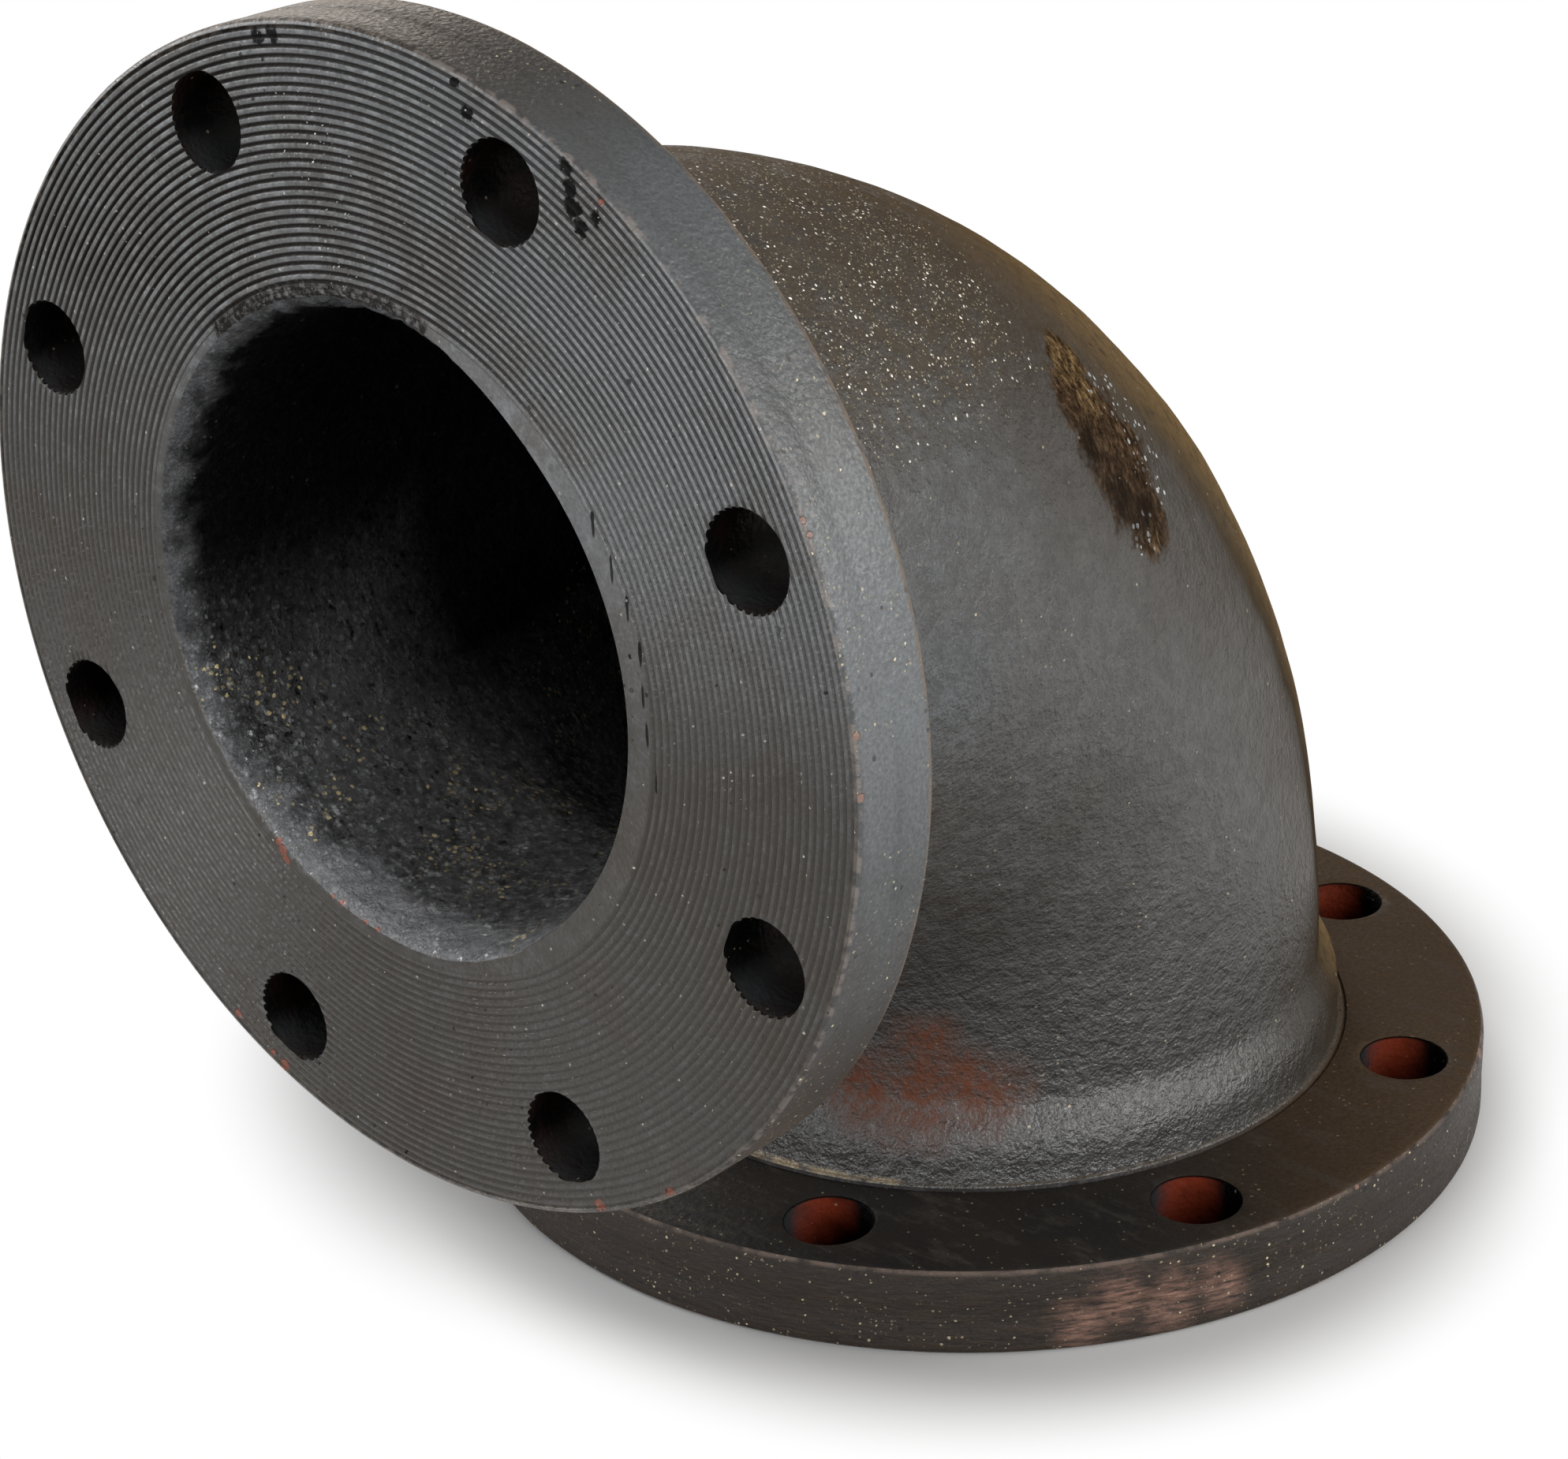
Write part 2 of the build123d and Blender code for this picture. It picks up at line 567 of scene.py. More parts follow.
# %% Cast wall
SCAB = (((68, -43, 235), 10), ((74, -46, 229), 13), ((78, -43, 221), 16), ((82, -38, 212), 16),
        ((85, -37, 204), 14), ((88, -34, 196), 10))
SCAB_GOLD = (((68, -43, 235), 11), ((73, -42, 229), 9), ((88, -34, 194), 5))
SCAB_BLACK = (((86, -44, 206), 11), ((87, -35, 199), 10), ((81, -52, 219), 9))
BLISTERS = (((72, -31, 227), 10), ((75, -26, 217), 11), ((80, -25, 207), 11), ((87, -38, 195), 8))
OXIDE = (((38, -87, 48), 17), ((50, -81, 48), 21), ((62, -73, 50), 19), ((52, -80, 64), 14))
TOP_DUST = (((24, -89, 283), 52), ((46, -86, 273), 48), ((62, -84, 261), 40), ((60, -120, 268), 50))
# Places on the upper wall where a broad cool grey highlight is painted into the colour.
PAINTED_HIGHLIGHT_SPOTS = (((84, -110, 220), 50), ((90, -120, 190), 44))
TAN_FOOT = (((18, -99, 26), 13), ((32, -95, 26), 12), ((44, -90, 26), 8))


def cast_wall(tree, place):
    z = add(tree, "SeparateXYZ", [place], out="Z")
    low = add(tree, "MapRange", [z, 0.12, 0.065], interpolation_type="SMOOTHSTEP")
    loose = shaken(tree, place, 1.1, 0.4)
    fine = clouds(tree, place, 0.9, detail=3.0)
    mottle = clouds(tree, place, 5, 0.35, 0.65, detail=5.0, rough=0.65)
    brown = clouds(tree, place, 24, 0.42, 0.68, detail=5.0)
    top = patch(tree, place, TOP_DUST, 0.3, 24, 0.7)
    settled = overlap(tree, facing(tree, (0, 0.2, 0.98), 0.45, 1.0),
                      clouds(tree, place, 8, 0.25, 0.6, detail=6.0))
    dust = union(tree, overlap(tree, top, clouds(tree, place, 5, 0.3, 0.7, detail=6.0)), settled)
    oxide = overlap(tree, patch(tree, place, OXIDE, 0.5, 14, 1.0),
                    clouds(tree, place, 2.4, 0.2, 0.65, detail=5.0, rough=0.65))
    scab = patch(tree, place, SCAB, 0.55, 6, 0.35)
    burnt = patch(tree, place, SCAB_BLACK, 0.6, 4, 0.8)
    gold = patch(tree, place, SCAB_GOLD, 0.5, 4, 0.6)
    streaks = add(tree, "Mapping", {"Vector": place, "Scale": (1.0, 1.0, 0.35)})
    crust = clouds(tree, streaks, 1.6, 0.38, 0.6, detail=6.0, rough=0.8)
    blister = grains(tree, loose, 1.9, 1.7, 0.8, patch(tree, place, BLISTERS, 0.5, 5, 0.6))
    rust = layered(tree, "#120b06", [
        (crust, 0.75, "#5d4a38"), (overlap(tree, gold, crust), 0.85, "#7f6848"), (burnt, 0.85, "#080504"),
    ])
    powder = grains(tree, loose, 0.9, 0.6, 1.0, top)
    # Pale grains on the dusty top, painted near white as glints.
    painted_glint_places = overlap(tree, top, clouds(tree, place, 9, 0.3, 0.65, detail=6.0))
    pale_grains_painted_glints = grains(tree, loose, 1.45, 0.82, 0.8, painted_glint_places)
    strewn = grains(tree, loose, 2.7, 0.9, 0.4, clouds(tree, place, 26, 0.4, 0.66))
    pits = grains(tree, loose, 3.1, 1.3, 0.3, mottle)
    # Painted warm glow: where the wall faces the back, its edge turns a light gold-brown, a reflection painted
    # into the colour.
    painted_warm_edge_glow = overlap(tree, facing(tree, (0.25, 0.9, 0.35), 0.68, 0.92), clouds(tree, place, 3, 0.1, 0.6, detail=4.0))
    # Painted shade: the side that faces the back is darker and browner, and its gloss is taken away.
    painted_back_shade = facing(tree, (0.2, 0.95, 0.2), 0.17, 0.67)
    # Painted highlight: a cool grey patch on the upper wall.
    painted_cool_highlight = patch(tree, place, PAINTED_HIGHLIGHT_SPOTS, 0.3, 24, 1.0)
    foot = overlap(tree, patch(tree, place, TAN_FOOT, 0.3, 6, 0.6), clouds(tree, place, 3, 0.3, 0.6))
    ledge = add(tree, "MapRange", [z, 0.0264, 0.0256])
    colour = layered(tree, "#3e3d3c", [
        (clouds(tree, place, 55), 0.7, "#484948"), (brown, 0.45, "#2e2820"), (low, 0.5, "#1f1e1d"),
        (painted_cool_highlight, 0.85, "#45494c"),
        (mottle, 0.45, "#191714"), (fine, 0.4, "#131211"), (dust, 0.5, "#574d41"),
        (painted_back_shade, 0.5, "#30291f"), (painted_warm_edge_glow, 0.8, "#6f5b3e"), (oxide, 0.75, "#63351e"), (overlap(tree, ledge, foot), 0.7, "#7c6d54"),
        (scab, 1.0, rust), (pits, 0.8, "#0d0c0b"), (blister, 1.0, "#b0b3b5"),
        (powder, 0.9, "#a0967d"), (strewn, 0.8, "#a89d84"), (pale_grains_painted_glints, 1.0, "#f2eee2"),
    ])
    rough = add(tree, "MapRange", {0: union(tree, dust, oxide, scab, painted_warm_edge_glow), 3: 0.32, 4: 0.66})
    height = stacked(tree, [
        (clouds(tree, place, 1.6, 0.2, 0.8, detail=3.0, rough=0.6), 0.24),
        (overlap(tree, clouds(tree, place, 3.6, 0.25, 0.75, detail=3.0), low), 0.12),
        (fine, 0.08), (mottle, -0.3), (powder, 0.1), (strewn, 0.2), (pale_grains_painted_glints, 0.25), (pits, -0.3),
        (blister, 0.6), (scab, -0.3), (overlap(tree, scab, crust), 0.5),
    ])
    wet = add(tree, "MapRange", {0: low, 3: 0.5, 4: 0.75})
    gloss = overlap(tree, add(tree, "MapRange", {0: union(tree, dust, oxide, scab), 3: wet, 4: 0.12}),
                    add(tree, "MapRange", {0: painted_back_shade, 3: 1.0, 4: 0.0}))
    return colour, rough, height, gloss


wall_finish = coated("bitumen_on_cast_iron", cast_wall, sheen=0.08)

# %% [markdown]
# ## Turned face
#
# A lathe tool left the rings, and the coat lies thin on the ridges and pools in the
# valleys. Ridges are a cool, worn grey and valleys a dark brown. Light is painted in
# too: the valleys are painted darker as shade, most at the top of the face, the ridges
# there lighter as highlights, the upper right quarter lighter as a highlight, and a
# wedge above the mouth darker as shade. The mask follows the distance from the
# flange's axis, so it lines up with the modelled rings.

# %% Turned face
RIDGE_STOPS = ((0.0, 0.2), (0.12, 1.0), (0.46, 1.0), (0.62, 0.0), (0.91, 0.0), (1.0, 0.2))
LIP_CHIPS = (((-46, -200, 136), 1.3), ((-44.6, -200, 134), 1.6), ((-43.6, -200, 131.8), 1.4),
             ((-28, -200, 127.6), 1.4), ((-25, -200, 126.6), 1.6), ((-21.5, -200, 125.6), 1.4),
             ((-17, -200, 124.2), 1.5), ((-13, -200, 123.2), 1.3))
FACE_CHIPS = LIP_CHIPS + (((57, -200, 74.3), 2.2), ((80, -200, 86.3), 2), ((-68, -200, 82), 1.4),
                          ((-52, -200, 73), 1.8), ((-56, -200, 75), 1.2), ((75.5, -200, 314.6), 0.9))
FACE_DAMAGE = (((66, -200, 320), 2.0), ((66.6, -200, 316), 2.4), ((67.4, -200, 312), 2.8),
               ((69, -200, 308), 2.2), ((73.6, -200, 311), 2.0), ((-26, -200, 333.4), 2.6),
               ((-21, -200, 334.6), 2.0), ((35, -200, 332.4), 1.6), ((38, -200, 327), 1.8),
               ((39, -200, 315), 2.0))
MOUTH_CRUST = (((-46, -200, 264), 6), ((-38, -200, 268), 7), ((-29, -200, 273), 8),
               ((-18, -200, 276), 8), ((-6, -200, 278), 8), ((6, -200, 278), 7), ((16, -200, 276), 6))
# A wedge of the face above the mouth where the rings are painted darker brown as shade.
PAINTED_SHADE_WEDGE = (((-6, -200, 287), 13), ((-10, -200, 300), 16), ((-14, -200, 313), 14))
CRACKS = (
    (67.7, -200, 243.9), (72.5, -200, 234.9), (76.5, -200, 227), (79.6, -200, 217.8),
    (79.7, -200, 207.7), (80.3, -200, 199.1), (82.2, -200, 189.3),
)
CRACK_SQUASH = 0.13


def radius_on_flange(tree, place):
    """Distance from the nearer flange's own axis, in metres."""
    x, y, z = add(tree, "SeparateXYZ", [place]).node.outputs
    lifted = add(tree, "Math", [z, CENTRE_TO_FACE * MM], operation="SUBTRACT")
    nearest = 9.0
    for other in (y, lifted):
        flat = add(tree, "CombineXYZ", [x, other])
        radius = add(tree, "VectorMath", [flat], out="Value", operation="LENGTH")
        nearest = add(tree, "Math", [radius, nearest], operation="MINIMUM")
    return nearest


def ring_mask(tree, radius):
    """1 on the ridges and 0 in the valleys of both turned faces."""
    number = add(tree, "Math", [radius, 1 / (RING_PITCH * MM), -FIRST_RING / RING_PITCH],
                 operation="MULTIPLY_ADD")
    ramp = add(tree, "ValToRGB", [add(tree, "Math", [number], operation="FRACT")])
    stops = ramp.node.color_ramp
    stops.interpolation = "EASE"
    while len(stops.elements) < len(RIDGE_STOPS):
        stops.elements.new(0.5)
    for element, (where, level) in zip(stops.elements, RIDGE_STOPS):
        element.position = where
        element.color = (level, level, level, 1.0)
    land = add(tree, "MapRange", [radius, FIRST_RING * MM, (FIRST_RING - 0.3) * MM])
    return union(tree, ramp, land)


def turned_face(tree, place):
    radius = radius_on_flange(tree, place)
    ridge = ring_mask(tree, radius)
    x, _, z = add(tree, "SeparateXYZ", [place]).node.outputs
    # Darker and browner below the top band of the face; the valley darkening, the lighter ridges and the gloss all
    # fade below it too.
    lower_face = add(tree, "MapRange", [z, 0.27, 0.2])
    right = add(tree, "MapRange", [x, -0.04, 0.05])
    # Painted highlight: the upper right quarter of the face is a lighter grey, and the darker lower layer is
    # weaker there.
    painted_highlight_quarter = overlap(tree, right, add(tree, "MapRange", [z, 0.185, 0.225]))
    # Painted shade: how dark the valleys are painted, most at the top of the face and less to the right and low
    # down.
    painted_valley_shade = overlap(tree, add(tree, "MapRange", {0: lower_face, 3: 1.0, 4: 0.1}),
                   add(tree, "MapRange", {0: right, 3: 1.0, 4: 0.8}))
    # The valleys hold dark dirt and pooled coat, and are painted darker still as shade.
    valley_dirt_and_shade = overlap(tree, add(tree, "Math", [1.0, ridge], operation="SUBTRACT"), painted_valley_shade)
    loose = shaken(tree, place, 1.0, 0.4)
    fine = clouds(tree, place, 0.9, detail=3.0)
    brown = clouds(tree, place, 26, 0.45, 0.7, detail=5.0)
    # Lighter grey on the ridges: partly wear, partly a painted highlight, strongest at the top of the face.
    ridge_wear_and_highlight = overlap(tree, ridge, clouds(tree, place, 3.2, 0.45, 0.7, detail=6.0, rough=0.75),
                   add(tree, "MapRange", {0: lower_face, 3: 1.0, 4: 0.25}))
    # Painted shade: a dark brown wedge on the rings above the mouth.
    painted_shade_wedge = patch(tree, place, PAINTED_SHADE_WEDGE, 0.3, 14, 0.9)
    chips = patch(tree, place, FACE_CHIPS, 0.5, 2.5)
    damage = patch(tree, shaken(tree, place, 2.2, 1.7), FACE_DAMAGE, 0.5, 1.5, 0.3)
    crust = overlap(tree, patch(tree, place, MOUTH_CRUST, 0.4, 5, 0.3),
                    add(tree, "MapRange", [radius, 0.0835, 0.0815]))
    crackle = clouds(tree, place, 1.9, 0.42, 0.56, detail=6.0, rough=0.75)
    edge = overlap(tree, add(tree, "MapRange", [radius, 0.1372, 0.1385]),
                   clouds(tree, place, 3, 0.4, 0.65, detail=5.0))
    glints = add(tree, "Math", [damage, 0.3], operation="MULTIPLY")
    # Specks of bare iron in the shade wedge and the damage, painted near white as glints.
    silvery_painted_light = grains(tree, loose, 1.3, 0.8, 0.55, union(tree, painted_shade_wedge, glints))
    squashed = add(tree, "Mapping", {"Vector": place, "Scale": (1.0, 1.0, CRACK_SQUASH)})
    cracks = patch(tree, squashed, [((x, y, z * CRACK_SQUASH), 0.5) for x, y, z in CRACKS], 0.35, 1.5)
    nicks = union(tree, cracks, grains(tree, loose, 2.3, 1.3, 0.3, clouds(tree, place, 20, 0.4, 0.66)))
    pale = grains(tree, loose, 2.0, 0.75, 0.3)
    colour = layered(tree, "#404141", [
        (clouds(tree, place, 60), 0.4, "#414344"), (painted_highlight_quarter, 0.9, "#545658"),
        (lower_face, add(tree, "MapRange", {0: painted_highlight_quarter, 3: 0.82, 4: 0.65}), "#2c2721"),
        (brown, 0.5, "#2c2318"), (painted_shade_wedge, 0.6, "#1f1811"),
        (fine, 0.3, "#171513"), (ridge_wear_and_highlight, 0.5, "#75787b"), (valley_dirt_and_shade, 0.96, "#0b0805"),
        (crust, 0.5, "#4c4b4a"), (overlap(tree, crust, crackle), 0.9, "#0f0c0a"),
        (edge, 0.3, "#6f675f"), (chips, 1.0, "#5e3325"), (damage, 0.95, "#050505"),
        (nicks, 0.85, "#0c0b0a"), (pale, 0.8, "#a19b91"), (silvery_painted_light, 0.9, "#c2c3c2"),
    ])
    rough = add(tree, "MapRange", {0: union(tree, valley_dirt_and_shade, fine), 3: 0.28, 4: 0.46})
    height = stacked(tree, [
        (clouds(tree, place, 1.3, 0.25, 0.75, detail=3.0), 0.09), (ridge_wear_and_highlight, 0.08), (nicks, -0.4),
        (silvery_painted_light, 0.3), (pale, 0.15), (chips, -0.3), (damage, -0.2),
        (overlap(tree, crust, crackle), -0.9),
    ])
    dirt_and_valley_shade = union(tree, valley_dirt_and_shade, damage, nicks, overlap(tree, crust, crackle))
    clean = add(tree, "MapRange", {0: lower_face, 3: 0.5, 4: 0.3})
    gloss = add(tree, "MapRange", {0: dirt_and_valley_shade, 3: clean, 4: 0.03})
    return colour, rough, height, gloss


face_finish = coated("bitumen_on_turned_iron", turned_face, sheen=0.03)

# %% [markdown]
# ## Rim, back and bore
#
# The rim has orange peel, grit and a worn front edge. The back of each flange is
# flat, matt and dusty brown. The bore keeps the mould's sand texture under a coat
# that looks almost black, with yellow and grey grains stuck in it.

# %% Rim
COPPER = (((114, -81, 13), 13), ((121, -70, 9), 13), ((127, -57, 11), 11), ((108, -88, 7), 12))
RIM_CHIPS = (((120.6, -199.9, 267.2), 1.0), ((126.7, -199.5, 258.5), 1.0), ((128, -199, 255.6), 0.8),
             ((138.9, -199, 214.9), 1.1), ((139.3, -199, 201.4), 1.2), ((81.3, -199.8, 310.4), 1.2),
             ((124, 62, 23), 2.4), ((120, 68, 23), 1.8), ((138.8, -15, 23.4), 1.0))


def turned_rim(tree, place):
    x, y, z = add(tree, "SeparateXYZ", [place]).node.outputs
    lower = add(tree, "MapRange", [z, 0.03, 0.0255])
    side = add(tree, "Math", [1.0, lower], operation="SUBTRACT")
    loose = shaken(tree, place, 1.1, 0.4)
    fine = clouds(tree, place, 0.9, detail=3.0)
    brown = clouds(tree, place, 26, 0.42, 0.68, detail=5.0)
    flattened = add(tree, "Mapping", {"Vector": place, "Scale": (1.0, 1.0, 7.0)})
    streak = clouds(tree, flattened, 8, 0.3, 0.7, detail=6.0, rough=0.68)
    # Painted highlight: the rim is a lighter grey where it faces right and up to the right.
    painted_highlight_side = union(tree, facing(tree, (0.97, 0, 0.24), 0.9, 1.0), facing(tree, (0.6, 0, 0.8), 0.8, 1.15))
    top_left = overlap(tree, add(tree, "MapRange", [x, 0.08, 0.01]),
                       add(tree, "MapRange", [z, 0.2, 0.3]))
    under = overlap(tree, side, add(tree, "MapRange", [z, 0.165, 0.12]))
    gritty = union(tree, under, overlap(tree, lower, clouds(tree, place, 14, 0.3, 0.6)),
                   clouds(tree, place, 30, 0.42, 0.62))
    front = overlap(tree, add(tree, "MapRange", [y, -0.1985, -0.1992]),
                    clouds(tree, place, 3, 0.42, 0.6, detail=6.0))
    tan = overlap(tree, side, add(tree, "MapRange", [y, -0.1785, -0.177]),
                  clouds(tree, place, 5, 0.3, 0.6, detail=5.0))
    brow = overlap(tree, lower, add(tree, "MapRange", [z, 0.0224, 0.0232]),
                   clouds(tree, place, 6, 0.3, 0.6, detail=5.0))
    copper = overlap(tree, patch(tree, place, COPPER, 0.5, 20, 1.0), streak)
    chips = patch(tree, place, RIM_CHIPS, 0.5, 2.5)
    pits = grains(tree, loose, 2.4, 1.3, 0.4, gritty)
    powder = grains(tree, loose, 1.1, 0.7, 0.7, overlap(tree, gritty, clouds(tree, place, 9)))
    pale = grains(tree, loose, 2.1, 0.8, 0.6, gritty)
    colour = layered(tree, "#363839", [
        (clouds(tree, place, 14, 0.35, 0.65), 0.6, "#424446"), (brown, 0.4, "#38302a"),
        (painted_highlight_side, 0.85, "#5b5f62"),
        (lower, 0.92, "#17110c"), (top_left, 0.85, "#291f14"), (under, 0.8, "#1f1811"),
        (fine, 0.4, "#1b1a19"), (overlap(tree, lower, streak), 0.35, "#3b2e22"),
        (copper, 0.85, "#856558"), (front, 0.4, "#7b7069"), (tan, 0.7, "#6b5a48"),
        (brow, 0.5, "#6a5b52"), (chips, 1.0, "#6b5349"), (pits, 0.85, "#0e0d0c"),
        (powder, 0.8, "#8f866f"), (pale, 0.9, "#c0b597"),
    ])
    rough = add(tree, "MapRange", {0: union(tree, fine, under), 3: 0.36, 4: 0.55})
    height = stacked(tree, [
        (clouds(tree, place, 1.7, 0.25, 0.75, detail=3.0), 0.16), (fine, 0.05), (pits, -0.5),
        (powder, 0.1), (pale, 0.2), (overlap(tree, lower, streak), 0.2), (front, -0.1),
        (tan, 0.2), (chips, -0.3),
    ])
    gloss = add(tree, "MapRange", {0: union(tree, lower, top_left, under, tan), 3: 0.5, 4: 0.22})
    return colour, rough, height, gloss


rim_finish = coated("bitumen_on_turned_rim", turned_rim, sheen=0.06)


# %% Back of the flanges
def cut_back(tree, place):
    x, y, _ = add(tree, "SeparateXYZ", [place]).node.outputs
    loose = shaken(tree, place, 1.1, 0.4)
    fine = clouds(tree, place, 1.1, detail=3.0)
    farther = add(tree, "Math", [x, y], operation="ADD")
    far = add(tree, "MapRange", [farther, 0.03, 0.17], interpolation_type="SMOOTHSTEP")
    scuffs = clouds(tree, add(tree, "Mapping", {"Vector": place, "Scale": (1.0, 3.0, 1.0)}),
                    14, 0.5, 0.7, detail=6.0, rough=0.7)
    pale = grains(tree, loose, 1.8, 0.8, 0.5, clouds(tree, place, 24, 0.3, 0.65))
    colour = layered(tree, "#141211", [
        (clouds(tree, place, 30, 0.35, 0.65, detail=4.0), 0.5, "#1f1a16"), (far, 0.85, "#433322"),
        (fine, 0.4, "#0d0c0b"), (scuffs, 0.35, "#3a3733"), (pale, 0.7, "#8b7e62"),
    ])
    rough = add(tree, "MapRange", {0: fine, 3: 0.46, 4: 0.66})
    height = stacked(tree, [
        (clouds(tree, place, 1.8, 0.25, 0.75, detail=3.0), 0.12), (scuffs, 0.08), (pale, 0.15),
    ])
    return colour, rough, height, 0.2


back_finish = coated("bitumen_on_flat_back", cut_back, sheen=0.03)

# %% Bore
GOLD_GRIT = (((-68, -194, 172), 9), ((-64, -182, 165), 11), ((-51, -196, 148), 8),
             ((-33, -148, 134), 13), ((-24, -131, 130), 13))
# Knobs on the lower left of the side mouth's lip, raised and painted light grey as highlights.
LIP_KNOB_HIGHLIGHTS = (((-74, -200, 176), 5), ((-73, -200, 170), 6), ((-70, -200, 163), 6),
              ((-66, -200, 157), 6), ((-61, -199, 151), 5), ((-56, -200, 145), 4))


def cast_bore(tree, place):
    _, y, z = add(tree, "SeparateXYZ", [place]).node.outputs
    loose = shaken(tree, place, 1.1, 0.45)
    sand = clouds(tree, place, 3.0, 0.4, 0.62, detail=6.0, rough=0.7)
    fine = clouds(tree, place, 0.8, detail=3.0)
    lumps = clouds(tree, place, 7, 0.3, 0.7, detail=3.0)
    grit = clouds(tree, place, 1.4, 0.48, 0.58, detail=5.0, rough=0.72)
    crumbs = overlap(tree, sand, grains(tree, loose, 1.5, 1.8, 1.0))
    high = add(tree, "MapRange", [z, 0.14, 0.205], interpolation_type="SMOOTHSTEP")
    deep = overlap(tree, add(tree, "MapRange", [y, -0.178, -0.12]), add(tree, "MapRange", [z, 0.13, 0.155]))
    shade = union(tree, high, deep)
    # The mouth's smooth funnel is painted light grey as its reflection, and darker brown high up as part of the
    # painted shade.
    narrow = add(tree, "MapRange", {0: z, 1: 0.128, 2: 0.155, 4: 0.009})
    wavy = add(tree, "Math", [lumps, 0.006, narrow], operation="MULTIPLY_ADD")
    wavy = add(tree, "Math", [wavy, y], operation="ADD")
    funnel = add(tree, "MapRange", [wavy, -0.178, -0.188], interpolation_type="SMOOTHSTEP")
    lip = add(tree, "MapRange", [y, -0.1945, -0.1985])
    # Painted highlight: light grey on the knobs of the lip's lower left.
    silvery_painted_light = patch(tree, place, LIP_KNOB_HIGHLIGHTS, 0.5, 4, 0.4)
    chips = patch(tree, place, LIP_CHIPS, 0.5, 2.5)
    strewn = overlap(tree, clouds(tree, place, 26, 0.5, 0.7), add(tree, "MapRange", [z, 0.17, 0.14]))
    gold = grains(tree, loose, 1.6, 1.35, 0.9, union(tree, strewn, patch(tree, place, GOLD_GRIT, 0.5, 8, 0.7)))
    pale = grains(tree, loose, 2.2, 1.0, 0.16)
    # Painted highlights: the tops of the sand are lighter, and the grit on them lighter still, standing in for
    # glints on the grains.
    colour = layered(tree, "#0b0a0a", [
        (sand, 0.5, "#2a2a2c"), (overlap(tree, grit, sand), 0.6, "#808284"), (crumbs, 1.0, "#b2b4b6"),
        (shade, 0.97, "#020202"), (funnel, 0.92, "#5c5d5f"),
        (overlap(tree, high, funnel), 0.15, "#2a2119"), (overlap(tree, lip, sand), 0.5, "#606264"),
        (overlap(tree, silvery_painted_light, sand), 0.9, "#8a8c8e"), (fine, 0.35, "#0d0c0b"),
        (chips, 1.0, "#7e4632"), (pale, 0.6, "#6f6a60"), (gold, 1.0, "#dcc891"),
    ])
    rough = add(tree, "MapRange", {0: sand, 3: 0.2, 4: 0.36})
    gloss = add(tree, "MapRange", {0: shade, 3: 0.8, 4: 0.04})
    smooth = add(tree, "MapRange", {0: funnel, 3: 1.0, 4: 0.2})
    height = stacked(tree, [
        (overlap(tree, sand, smooth), 1.3), (overlap(tree, grit, smooth), 0.8), (lumps, 1.2),
        (overlap(tree, crumbs, smooth), 0.6),
        (overlap(tree, silvery_painted_light, sand), 0.8), (pale, 0.3), (gold, 0.35),
    ])
    return colour, rough, height, gloss


bore_finish = coated("bitumen_in_cast_bore", cast_bore)


# %% Drilled holes
def drilled_hole(tree, place):
    z = add(tree, "SeparateXYZ", [place], out="Z")
    lower = add(tree, "MapRange", [z, 0.03, 0.0255])
    side = add(tree, "Math", [1.0, lower], operation="SUBTRACT")
    lit = overlap(tree, side, facing(tree, (0.3, 0, 0.95), 0.5, 1.0))
    smear = clouds(tree, place, 12, 0.4, 0.62, detail=4.0)
    red = overlap(tree, lower, facing(tree, (0.78, -0.63, 0), 0.5, 1.0),
                  clouds(tree, place, 7, 0.0, 0.6))
    # Painted light: a blue-grey sheen on the lower holes' walls that face right and back.
    painted_bluish_light = overlap(tree, lower, facing(tree, (0.9, 0.43, 0), 0.3, 1.0))
    colour = layered(tree, "#020202", [
        (lit, 0.7, "#242526"), (overlap(tree, side, smear), 0.4, "#180c07"), (painted_bluish_light, 0.6, "#26282a"),
        (red, 0.75, "#5c2212"), (grains(tree, place, 2.0, 0.8, 0.2), 0.6, "#6b5f50"),
    ])
    rough = add(tree, "MapRange", {0: smear, 3: 0.55, 4: 0.4})
    height = stacked(tree, [(clouds(tree, place, 1.6, detail=3.0), 0.2)])
    return colour, rough, height, 0.02


hole_finish = coated("primer_in_drilled_hole", drilled_hole)

for number, finish in enumerate((face_finish, rim_finish, back_finish, wall_finish, bore_finish, hole_finish)):
    drilled.materials[number] = finish
for blank in blanks:
    bpy.data.materials.remove(blank)
print("finishes:", [finish.name for finish in drilled.materials])

# %% [markdown]
# ## Where the piece belongs
#
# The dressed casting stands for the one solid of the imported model, and it moves with
# the only body that a part without joints has.

# %% Tie the piece to the frame
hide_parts("pipe_bend")
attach(bend, "root")
print("casting replaces pipe_bend")

# %% [markdown]
# ## Floor and light
#
# The ground is white, with a soft shadow under the bend. Near the bend the floor is a
# matt grey that takes the bend's own shadow; this grey pool is itself a painted shadow,
# darker than the white beyond even where no lamp is blocked. Farther out it runs into
# plain white for the camera and for what shines or lets light through, so no lamp has
# to light it white. Six softboxes stand round the bend: the ones on the right draw the
# rim and the wall, and the ones in front rake over the rings.

# %% Floor
FLOOR_GREY = "#a9a9a9"
# Middles and radii in metres of the grey pool, a painted shadow as well as the real one: inside full it is matt
# grey, past end it is white.
SHADOW_POOLS = (((0.020, -0.020, 0.0), 0.115, 0.159), ((-0.042, 0.015, 0.0), 0.145, 0.200))

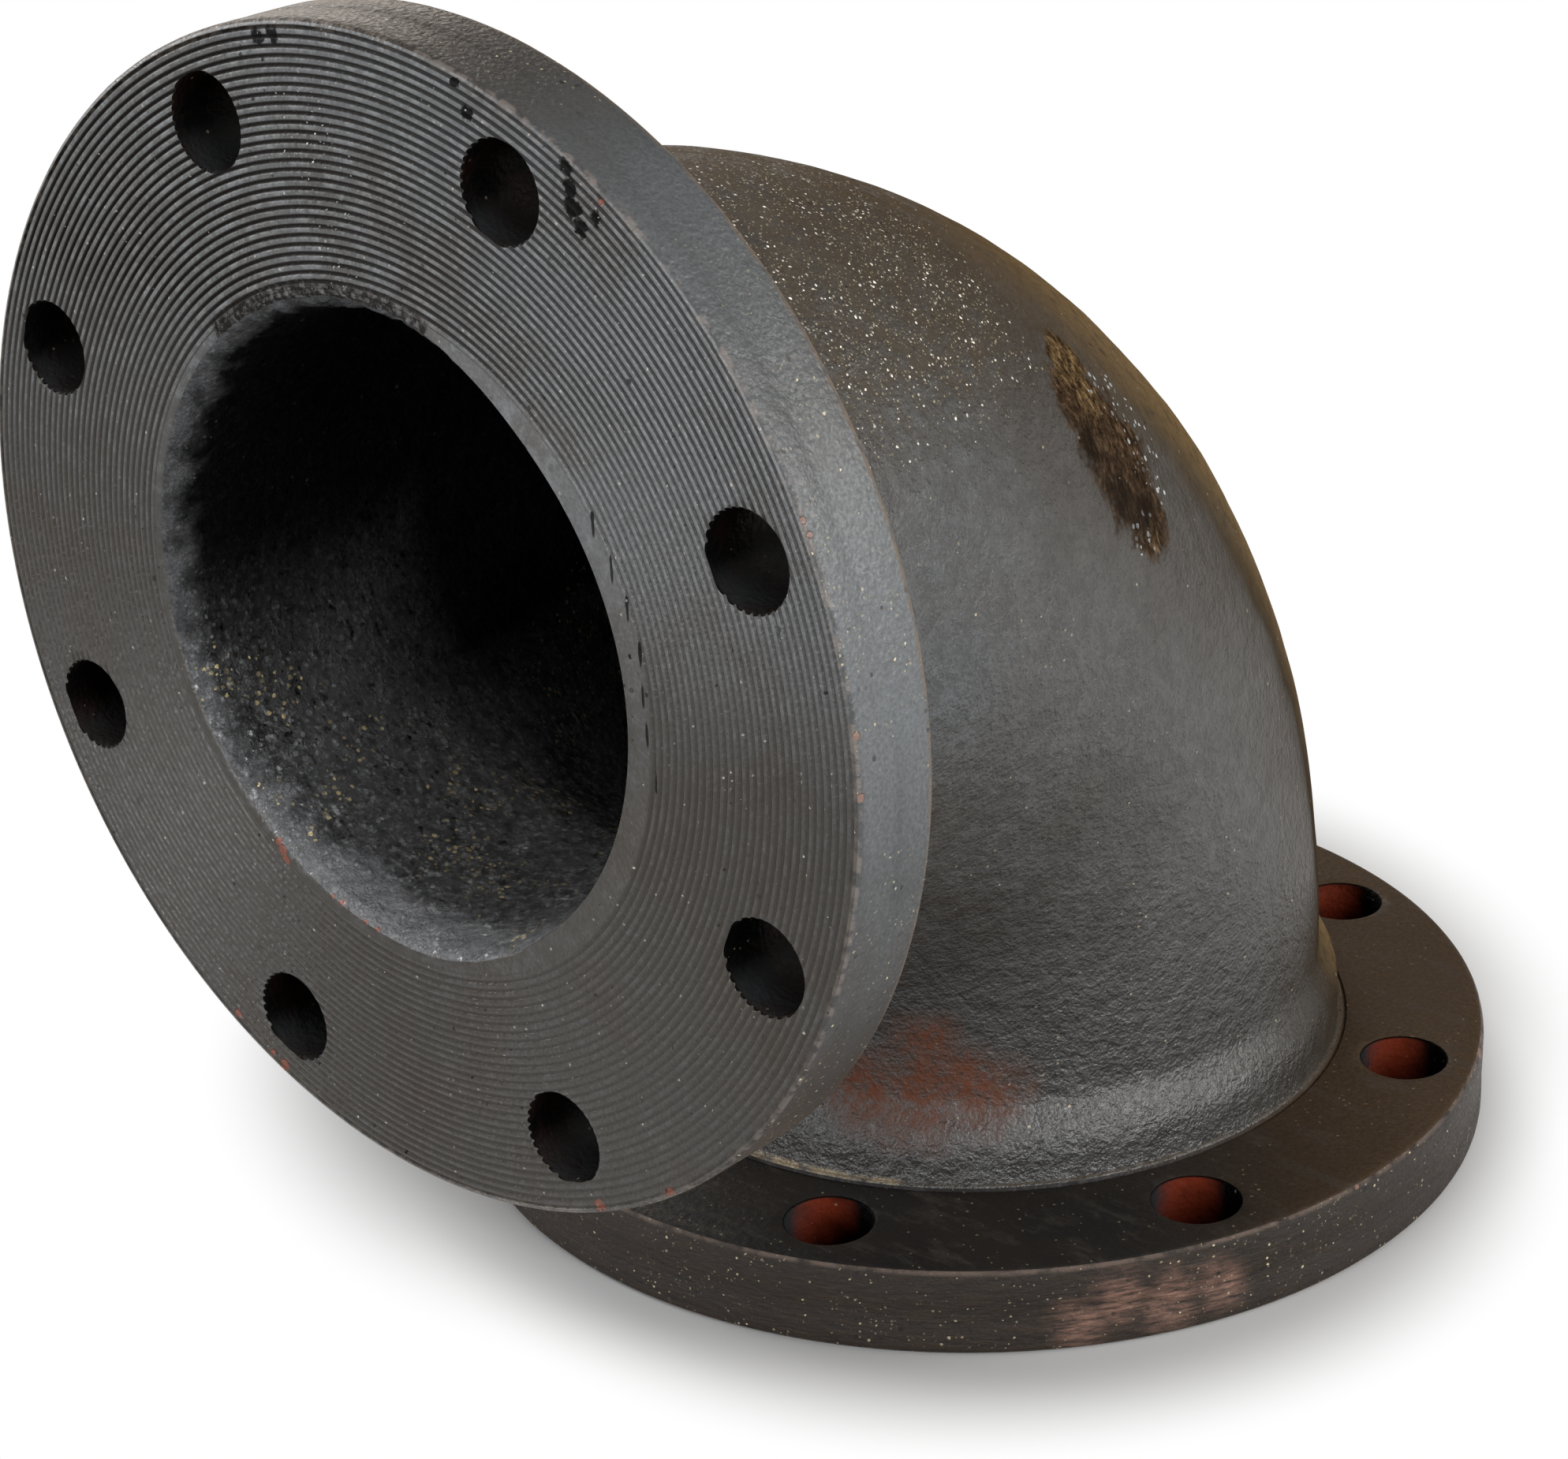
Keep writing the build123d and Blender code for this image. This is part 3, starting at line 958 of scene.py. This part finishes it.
ground = bmesh.new()
bmesh.ops.create_grid(ground, x_segments=1, y_segments=1, size=30000.0)
bmesh.ops.translate(ground, verts=ground.verts[:], vec=(0, 0, -0.3))
floor = new_piece("floor", ground)
pale_floor = bpy.data.materials.new("matt_white_floor")
pale_floor.use_nodes = True
cloth = pale_floor.node_tree
cloth.nodes.clear()
matt = add(cloth, "BsdfDiffuse", {"Color": linear(FLOOR_GREY)})
white = add(cloth, "Emission", {"Color": linear("#ffffff"), "Strength": 1.0})
ray = add(cloth, "LightPath").node.outputs
seen = union(cloth, ray["Is Camera Ray"], ray["Is Glossy Ray"], ray["Is Transmission Ray"])
open_floor = seen
for middle, full, end in SHADOW_POOLS:
    away = add(cloth, "VectorMath", [add(cloth, "TexCoord", out="Object"), middle],
               out="Value", operation="DISTANCE")
    clear = add(cloth, "MapRange", [away, full, end], interpolation_type="SMOOTHSTEP")
    open_floor = overlap(cloth, open_floor, clear)
ground_look = add(cloth, "MixShader", [open_floor, matt, white])
add(cloth, "OutputMaterial", {"Surface": ground_look})
floor.data.materials.append(pale_floor)

# %% Lights
WORLD_LIGHT = 0.13
BEND_MIDDLE = (0.0, -0.1, 0.17)
WHITE = (1.0, 1.0, 1.0)
WARM_WHITE = (1.0, 0.95, 0.88)


def softbox(name, place, target, size, power, colour):
    """A square area lamp that looks at a target."""
    lamp = bpy.data.lights.new(name, "AREA")
    lamp.shape = "SQUARE"
    lamp.size = size
    lamp.energy = power
    lamp.color = colour
    holder = bpy.data.objects.new(name, lamp)
    aim = (Vector(place) - Vector(target)).to_track_quat("Z", "Y").to_matrix().to_4x4()
    holder.matrix_world = Matrix.Translation(place) @ aim
    bpy.context.scene.collection.objects.link(holder)


softbox("right_softbox", (1.9, -0.5, 0.9), BEND_MIDDLE, 1.1, 40, WHITE)
softbox("back_right_softbox", (1.7, 1.2, 1.1), BEND_MIDDLE, 1.2, 32, WARM_WHITE)
softbox("front_softbox", (-0.1, -2.2, 0.5), BEND_MIDDLE, 0.9, 32, WHITE)
softbox("left_softbox", (-2.0, -0.6, 1.0), BEND_MIDDLE, 0.9, 28, WHITE)
softbox("back_left_softbox", (-1.8, 0.9, 1.0), BEND_MIDDLE, 1.2, 14, WARM_WHITE)
softbox("high_front_softbox", (0.2, -1.3, 2.1), BEND_MIDDLE, 1.4, 16, WHITE)

world = bpy.data.worlds.new("plain_white_room")
bpy.context.scene.world = world
world.use_nodes = True
room = world.node_tree
room.nodes.clear()
glow = add(room, "Background", {"Color": linear("#ffffff"), "Strength": WORLD_LIGHT})
add(room, "OutputWorld", {"Surface": glow})
bpy.context.scene.view_settings.view_transform = "Standard"
print("lamps and world are set")
